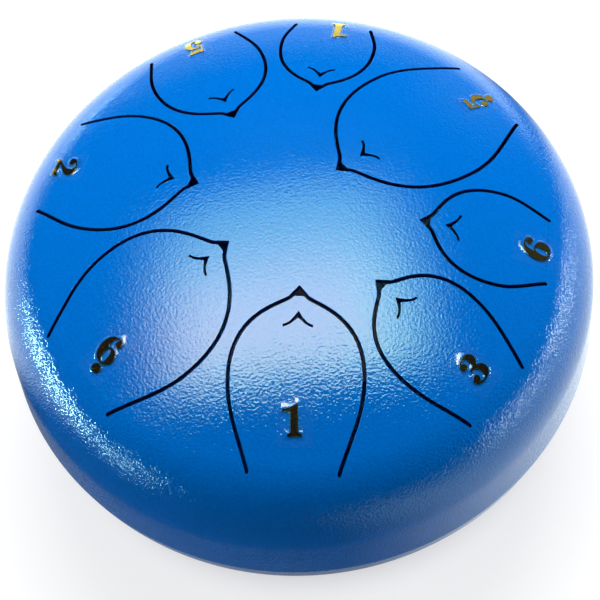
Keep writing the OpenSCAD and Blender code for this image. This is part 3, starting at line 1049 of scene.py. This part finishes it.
@dataclass
class NoteSticker:
    """Clear film with a raised gold note number, on one tongue."""

    plan: TonguePlan
    glyph: Glyph
    bearing: float
    turn: float
    distance: float
    low: bool = False
    number_turn: float = 0.0
    number_share: float = 1.0

    width, length, dot_length, corner_r, corner_steps = 8.4, 11.4, 2.0, 0.8, 6
    number_h, number_bold, middle, low_middle = 6.9, 0.16, 50.0, 35.5
    film_t, film_edge_r, film_cell = 0.1, 0.04, 0.24
    number_t, number_edge_r, number_cell = 0.3, 0.2, 0.9
    slack, root_lift, root_ease = 0.01, 0.07, 1.2
    drape, drape_gap, tent = 0.45, 0.02, 2.0

    @cached_property
    def place(self) -> Matrix:
        """Turns and moves a shape from the sticker's own frame."""
        return set_out(self.distance * CUT.ring_r, self.bearing, self.bearing + self.turn)

    def _lift(self, thickness: float, over: Sequence[Outline] = ()) -> Callable[[Vector], float]:
        """How far a layer lies above the shell, with room over the edge of the tongue's root.

        Args:
            thickness: The layer's own thickness.
            over: Lines of the raised number that the layer is draped over.
        """
        to_tongue, to_sticker = self.plan.place.inverted(), self.place.inverted()

        def lift(place: Vector) -> float:
            """Height above the shell's outside at a place."""
            flat = Vector((place.x, place.y, 0.0))
            past = (to_tongue @ flat).x - self.plan.inner_edge[-1].x + self.root_ease / 2
            raised = self._drape((to_sticker @ flat).to_2d(), over) if over else 0.0
            return thickness + self.slack + self.root_lift * eased(past / self.root_ease) + raised

        return lift

    def _drape(self, place: Vector, over: Sequence[Outline]) -> float:
        """Height of the film's drape over the number, with a longer tent at its top end."""
        if sum(outline.holds(place) for outline in over) % 2:
            return self.number_t + self.drape_gap
        way = min((outline.way_to(place) for outline in over), key=lambda step: step.length)
        reach = self.tent if way.x > 0 else self.drape
        distance = hypot(way.x * self.drape / reach, way.y)
        return (self.number_t + self.drape_gap) * (1 - eased(distance / self.drape))

    def _film_outline(self) -> Outline:
        """Rectangle with rounded corners."""
        half_l = (self.length + self.dot_length * self.low) / 2 - self.corner_r
        half_w = self.width / 2 - self.corner_r
        points = []
        for quarter, (along, across) in enumerate(((1, 1), (-1, 1), (-1, -1), (1, -1))):
            start, end = pi / 2 * quarter, pi / 2 * (quarter + 1)
            points += arc(along * half_l, across * half_w, self.corner_r, start, end, self.corner_steps)
        return Outline([Vector(point) for point in points])

    def _number_lines(self, glyph: Glyph) -> list[Outline]:
        """A glyph's bold lines, turned as it lies on the film."""
        middle = self.low_middle if self.low else self.middle
        rim, *holes = glyph.outlines(self.number_h * self.number_share, middle)
        turn = Matrix.Rotation(radians(self.number_turn), 4, "Z")
        lines = [rim.bolder(self.number_bold)] + [hole.bolder(-self.number_bold) for hole in holes]
        return [line.placed(turn) for line in lines]

    def _layer(self, plate: PressedPlate, lines: Sequence[Outline], over: Sequence[Outline] = ()) -> BMesh:
        """Cuts a plate by its rim and holes, and lays it on the tongue, draped over some lines."""
        plate.cut(lines[0], lines[1:])
        plate.thicken()
        plate.bm.transform(self.place)
        plate.press(self._lift(plate.thickness, over))
        return plate.bm

    def build(self, workshop: Workshop) -> None:
        """Makes the film and the number on it."""
        name, body = self.plan.name, f"note_{self.plan.name}"
        glyphs = {"number": self.glyph, "dot": Glyph.DOT} if self.low else {"number": self.glyph}
        shapes = {kind: self._number_lines(glyph) for kind, glyph in glyphs.items()}
        over = [line for lines in shapes.values() for line in lines]
        film = PressedPlate(self.film_t, self.film_edge_r, self.film_cell)
        bm = self._layer(film, [self._film_outline()], over)
        workshop.piece(f"film_{name}", bm, Finish.FILM, body, [f"sticker_{name}"])
        for kind, lines in shapes.items():
            number = PressedPlate(self.number_t, self.number_edge_r, self.number_cell)
            workshop.piece(f"gold_{kind}_{name}", self._layer(number, lines), Finish.GOLD, body)


# --- studio


@dataclass
class Studio:
    """Camera, floor and soft light at the photograph's angle, in metres."""

    apex_z: float

    elevation, roll = radians(62.60), radians(6.76)
    offset, unit, lens = (-0.035, 0.304, -3.993), 0.0775, 78.0
    COOL = (0.72, 1.15, 1.15, 1)
    KEY = ("key", (0.12, 0.72, 1.03), (0.8, 0.8), 16.3, (0.0, 0.0, 0.06))
    SOFTBOX = ("softbox", (-0.07, 0.298, 1.0), (1.36, 0.94), 55.0, (-0.07, 0.2979, 0.0))
    FILL_SIZE, STRIP_GAIN = (0.6, 0.3), 1.25
    FILLS = (
        ("fill_left", (-0.85, 0.0, 0.3), 2.3),
        ("fill_right", (0.85, 0.1, 0.3), 2.1),
        ("fill_front", (0.0, -0.9, 0.1), 0.3),
    )
    STRIPS = (
        ("strip_left", (-0.9, 0.0, 0.113), (0.7, 0.05), 6.2, COOL),
        ("strip_right", (0.9, 0.0, 0.113), (0.7, 0.05), 2.4, WHITE),
        ("strip_left_front", (-0.78, -0.45, 0.113), (0.35, 0.05), 1.2, COOL),
        ("strip_left_back", (-0.45, 0.78, 0.113), (0.35, 0.06), 0.3, COOL),
        ("strip_right_front", (0.78, -0.45, 0.113), (0.35, 0.04), 0.9, WHITE),
    )

    def camera(self) -> None:
        """Puts the camera where the photograph was taken from."""
        sine, cosine = sin(self.elevation), cos(self.elevation)
        level = Matrix(((1, 0, 0), (0, sine, cosine), (0, -cosine, sine)))
        turn = Matrix.Rotation(self.roll, 3, "Z") @ level
        place = -(turn.transposed() @ Vector(self.offset)) * self.unit + Vector((0, 0, self.apex_z))
        data = bpy.data.cameras.new("photo_camera")
        data.lens, data.sensor_width = self.lens, 36.0
        data.clip_start, data.clip_end = 0.01, 50.0
        camera = bpy.context.scene.camera = placed_in_scene("photo_camera", data)
        camera.matrix_world = Matrix.Translation(place) @ turn.transposed().to_4x4()

    def floor(self) -> None:
        """A plain pale floor that keeps the drum's shadow.

        The camera sees it nearly white, and sees through it from below. The gloss mirrors
        it bright beside the drum and dark in front.
        """
        bm = bmesh.new()
        bmesh.ops.create_grid(bm, x_segments=1, y_segments=1, size=4.0)
        mesh = bpy.data.meshes.new("floor")
        bm.to_mesh(mesh)
        bm.free()
        material, graph = ShaderGraph.of_material("pale_floor")
        spot = graph.place()
        side, depth, _ = graph.axes(spot)
        away = graph.length(spot)
        beside_drum = away.ramp(0.05, 0.078)
        pale = graph.glow(WHITE, (0.78 + 0.22 * away.ramp(0.4, 1.2)) * beside_drum)
        shaded = graph.add("BsdfDiffuse", {"Color": (0.35, 0.35, 0.35, 1)})
        seen = graph.add("AddShader", {0: pale, 1: shaded})
        near = 1 - away.ramp(0.078, 0.1)
        right = side.ramp(0.0, 0.12) * (1 - (depth - 0.6 * side).ramp(0.0, 0.05))
        left = (3 * depth - side).ramp(0.06, 0.18) * (1.2 * depth - side).ramp(0.02, 0.1)
        shade = 1.45 * right + 1.9 * left + 0.04 + 0.3 * near
        mirror = graph.glow((0.9, 0.97, 1, 1), shade * beside_drum)
        plain = graph.add("BsdfDiffuse", {"Color": (0.8, 0.8, 0.8, 1)})
        glossy = graph.mix(graph.read("LightPath", "Is Glossy Ray"), plain, mirror)
        camera_ray = graph.read("LightPath", "Is Camera Ray")
        below = camera_ray * graph.read("NewGeometry", "Backfacing")
        clear = graph.add("BsdfTransparent", {"Color": WHITE})
        graph.finish(graph.mix(below, graph.mix(camera_ray, glossy, seen), clear))
        mesh.materials.append(material)
        floor = placed_in_scene("floor", mesh)
        floor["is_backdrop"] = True

    @staticmethod
    def lamp(name: str, place: Place, size: Point, power: float, aim: Place = (0.0, 0.0, 0.05)) -> Object:
        """Adds a soft rectangular lamp that faces a point."""
        data = bpy.data.lights.new(name, "AREA")
        data.shape, data.size, data.size_y, data.energy = "RECTANGLE", *size, power
        lamp = placed_in_scene(name, data)
        turn = (Vector(aim) - Vector(place)).to_track_quat("-Z", "Y")
        lamp.matrix_world = Matrix.Translation(place) @ turn.to_matrix().to_4x4()
        return lamp

    def lights(self) -> None:
        """A soft key from the back, a softbox overhead and a strip low on each side.

        The key and the fills give the plain light. The others are what the gloss mirrors.
        """
        plain = [self.lamp(*self.KEY)]
        plain += [self.lamp(name, place, self.FILL_SIZE, power) for name, place, power in self.FILLS]
        for lamp in plain:
            lamp.visible_glossy = False
        self.softbox()
        for name, place, size, power, colour in self.STRIPS:
            graph, across, _ = self._mirrored(self.lamp(name, place, size, power))
            strength = self.STRIP_GAIN * (across.ramp(0.0, 0.3) * (1 - across.ramp(0.7, 1.0)))
            graph.finish(graph.glow(colour, strength), "Light")

    @staticmethod
    def _mirrored(lamp: Object) -> tuple[ShaderGraph, Wire, Wire]:
        """Shows a lamp to the gloss only.

        Returns:
            Its own nodes, and the shares of the way across its face and up it.
        """
        lamp.visible_diffuse = False
        lamp.data.use_nodes = True
        graph = ShaderGraph(lamp.data.node_tree)
        across, down, _ = graph.axes(graph.read("NewGeometry", "Parametric"))
        return graph, across, 1 - down

    def softbox(self) -> None:
        """The softbox that the dome mirrors: soft at its sides and dimmer towards the back."""
        graph, across, along = self._mirrored(self.lamp(*self.SOFTBOX))
        sides = across.ramp(0.0, 0.3) * (1 - across.ramp(0.68, 1.0))
        back = along.ramp(0.25, 0.78)
        strength = sides * (1 - 0.6 * back) * along.ramp(0.0, 0.025) * (1 - along.ramp(0.8, 1.0))
        warm = along.ramp(0.01, 0.12) * (1 - back) * across.ramp(0.1, 0.4)
        colour = graph.blend(warm, (0.74, 1.05, 0.6, 1), (1.22, 0.86, 0.6, 1))
        graph.finish(graph.glow(colour, strength), "Light")

    def world(self) -> None:
        """White for the camera, brighter at the back and dark in front for reflections."""
        world = bpy.data.worlds.new("studio")
        bpy.context.scene.world = world
        world.use_nodes = True
        graph = ShaderGraph(world.node_tree)
        right, back, height = graph.axes(graph.read("TexCoord", "Generated"))
        low = 1.1 * ((1 - height.ramp(0.12, 0.24)) * back.ramp(0.6, 0.85))
        corner = 0.3 * ((1 - height.ramp(0.35, 0.5)) * back.ramp(0.6, 0.75) * right.ramp(0.3, 0.5))
        strength = 0.006 + 0.025 * right.ramp(0.6, 0.75) + low + corner
        dim = graph.glow((0.85, 0.96, 1, 1), strength, "Background")
        even, white = (graph.glow(WHITE, power, "Background") for power in (0.05, 1.0))
        glossy = graph.mix(graph.read("LightPath", "Is Glossy Ray"), even, dim)
        graph.finish(graph.mix(graph.read("LightPath", "Is Camera Ray"), glossy, white), "World")


# --- the drum


@dataclass
class TongueDrum:
    """The whole drum: two shells, their weld, eight tongues with stickers, three feet."""

    plans: tuple[TonguePlan, ...] = (
        TonguePlan("6", 346.1, 0.0, 0.489, 0.487, 0.197, 0.137, 0.60, 0.098),
        TonguePlan("low_5", 31.7, -0.6, 0.223, 0.770, 0.291, 0.179, 0.56, 0.117),
        TonguePlan("high_1", 73.2, 1.9, 0.550, 0.440, 0.192, 0.158, 0.67, 0.087),
        TonguePlan("5", 111.6, -5.1, 0.466, 0.523, 0.233, 0.189, 0.63, 0.102),
        TonguePlan("2", 156.8, -2.9, 0.358, 0.630, 0.273, 0.215, 0.60, 0.105),
        TonguePlan("low_6", 209.2, 2.2, 0.269, 0.720, 0.297, 0.203, 0.55, 0.094),
        TonguePlan("1", 270.6, -9.6, 0.345, 0.650, 0.244, 0.163, 0.51, 0.098),
        TonguePlan("3", 308.5, 3.1, 0.448, 0.574, 0.209, 0.150, 0.52, 0.098),
    )
    spots: tuple[tuple[object, ...], ...] = (
        (Glyph.SIX, 345.6, 4, 0.933, False, -16),
        (Glyph.FIVE, 30.2, -4, 0.930, True, 0, 0.88),
        (Glyph.ONE, 72.6, 3, 0.961, False),
        (Glyph.FIVE, 108.8, -6, 0.972, False, 0, 0.9),
        (Glyph.TWO, 155.5, 4, 0.953, False),
        (Glyph.SIX, 212.6, 2, 0.864, True, 10),
        (Glyph.ONE, 265.0, -1, 0.822, False),
        (Glyph.THREE, 310.5, 6, 0.908, False),
    )
    feet: tuple[tuple[str, float], ...] = (("right", 30.0), ("left", 150.0), ("front", 270.0))

    def build(self, workshop: Workshop) -> None:
        """Makes every piece. The spots are the stickers' in the order of the tongues."""
        TopShell(self.plans).build(workshop)
        for plan in self.plans:
            Tongue(plan).build(workshop)
        BottomShell().build(workshop)
        WeldSeam().build(workshop)
        for name, bearing in self.feet:
            Foot(name, bearing).build(workshop)
        for plan, spot in zip(self.plans, self.spots):
            NoteSticker(plan, *spot).build(workshop)


def main() -> None:
    """Loads the frame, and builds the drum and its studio."""
    logging.basicConfig(level=logging.INFO, format="%(name)s: %(message)s")
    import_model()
    cad_box = [list(corner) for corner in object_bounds()]
    studio = Studio(apex_z=cad_box[1][2])
    studio.camera()
    TongueDrum().build(Workshop())
    studio.floor()
    studio.lights()
    studio.world()
    bpy.context.scene.view_settings.view_transform = "Standard"


if __name__ == "__main__":
    main()
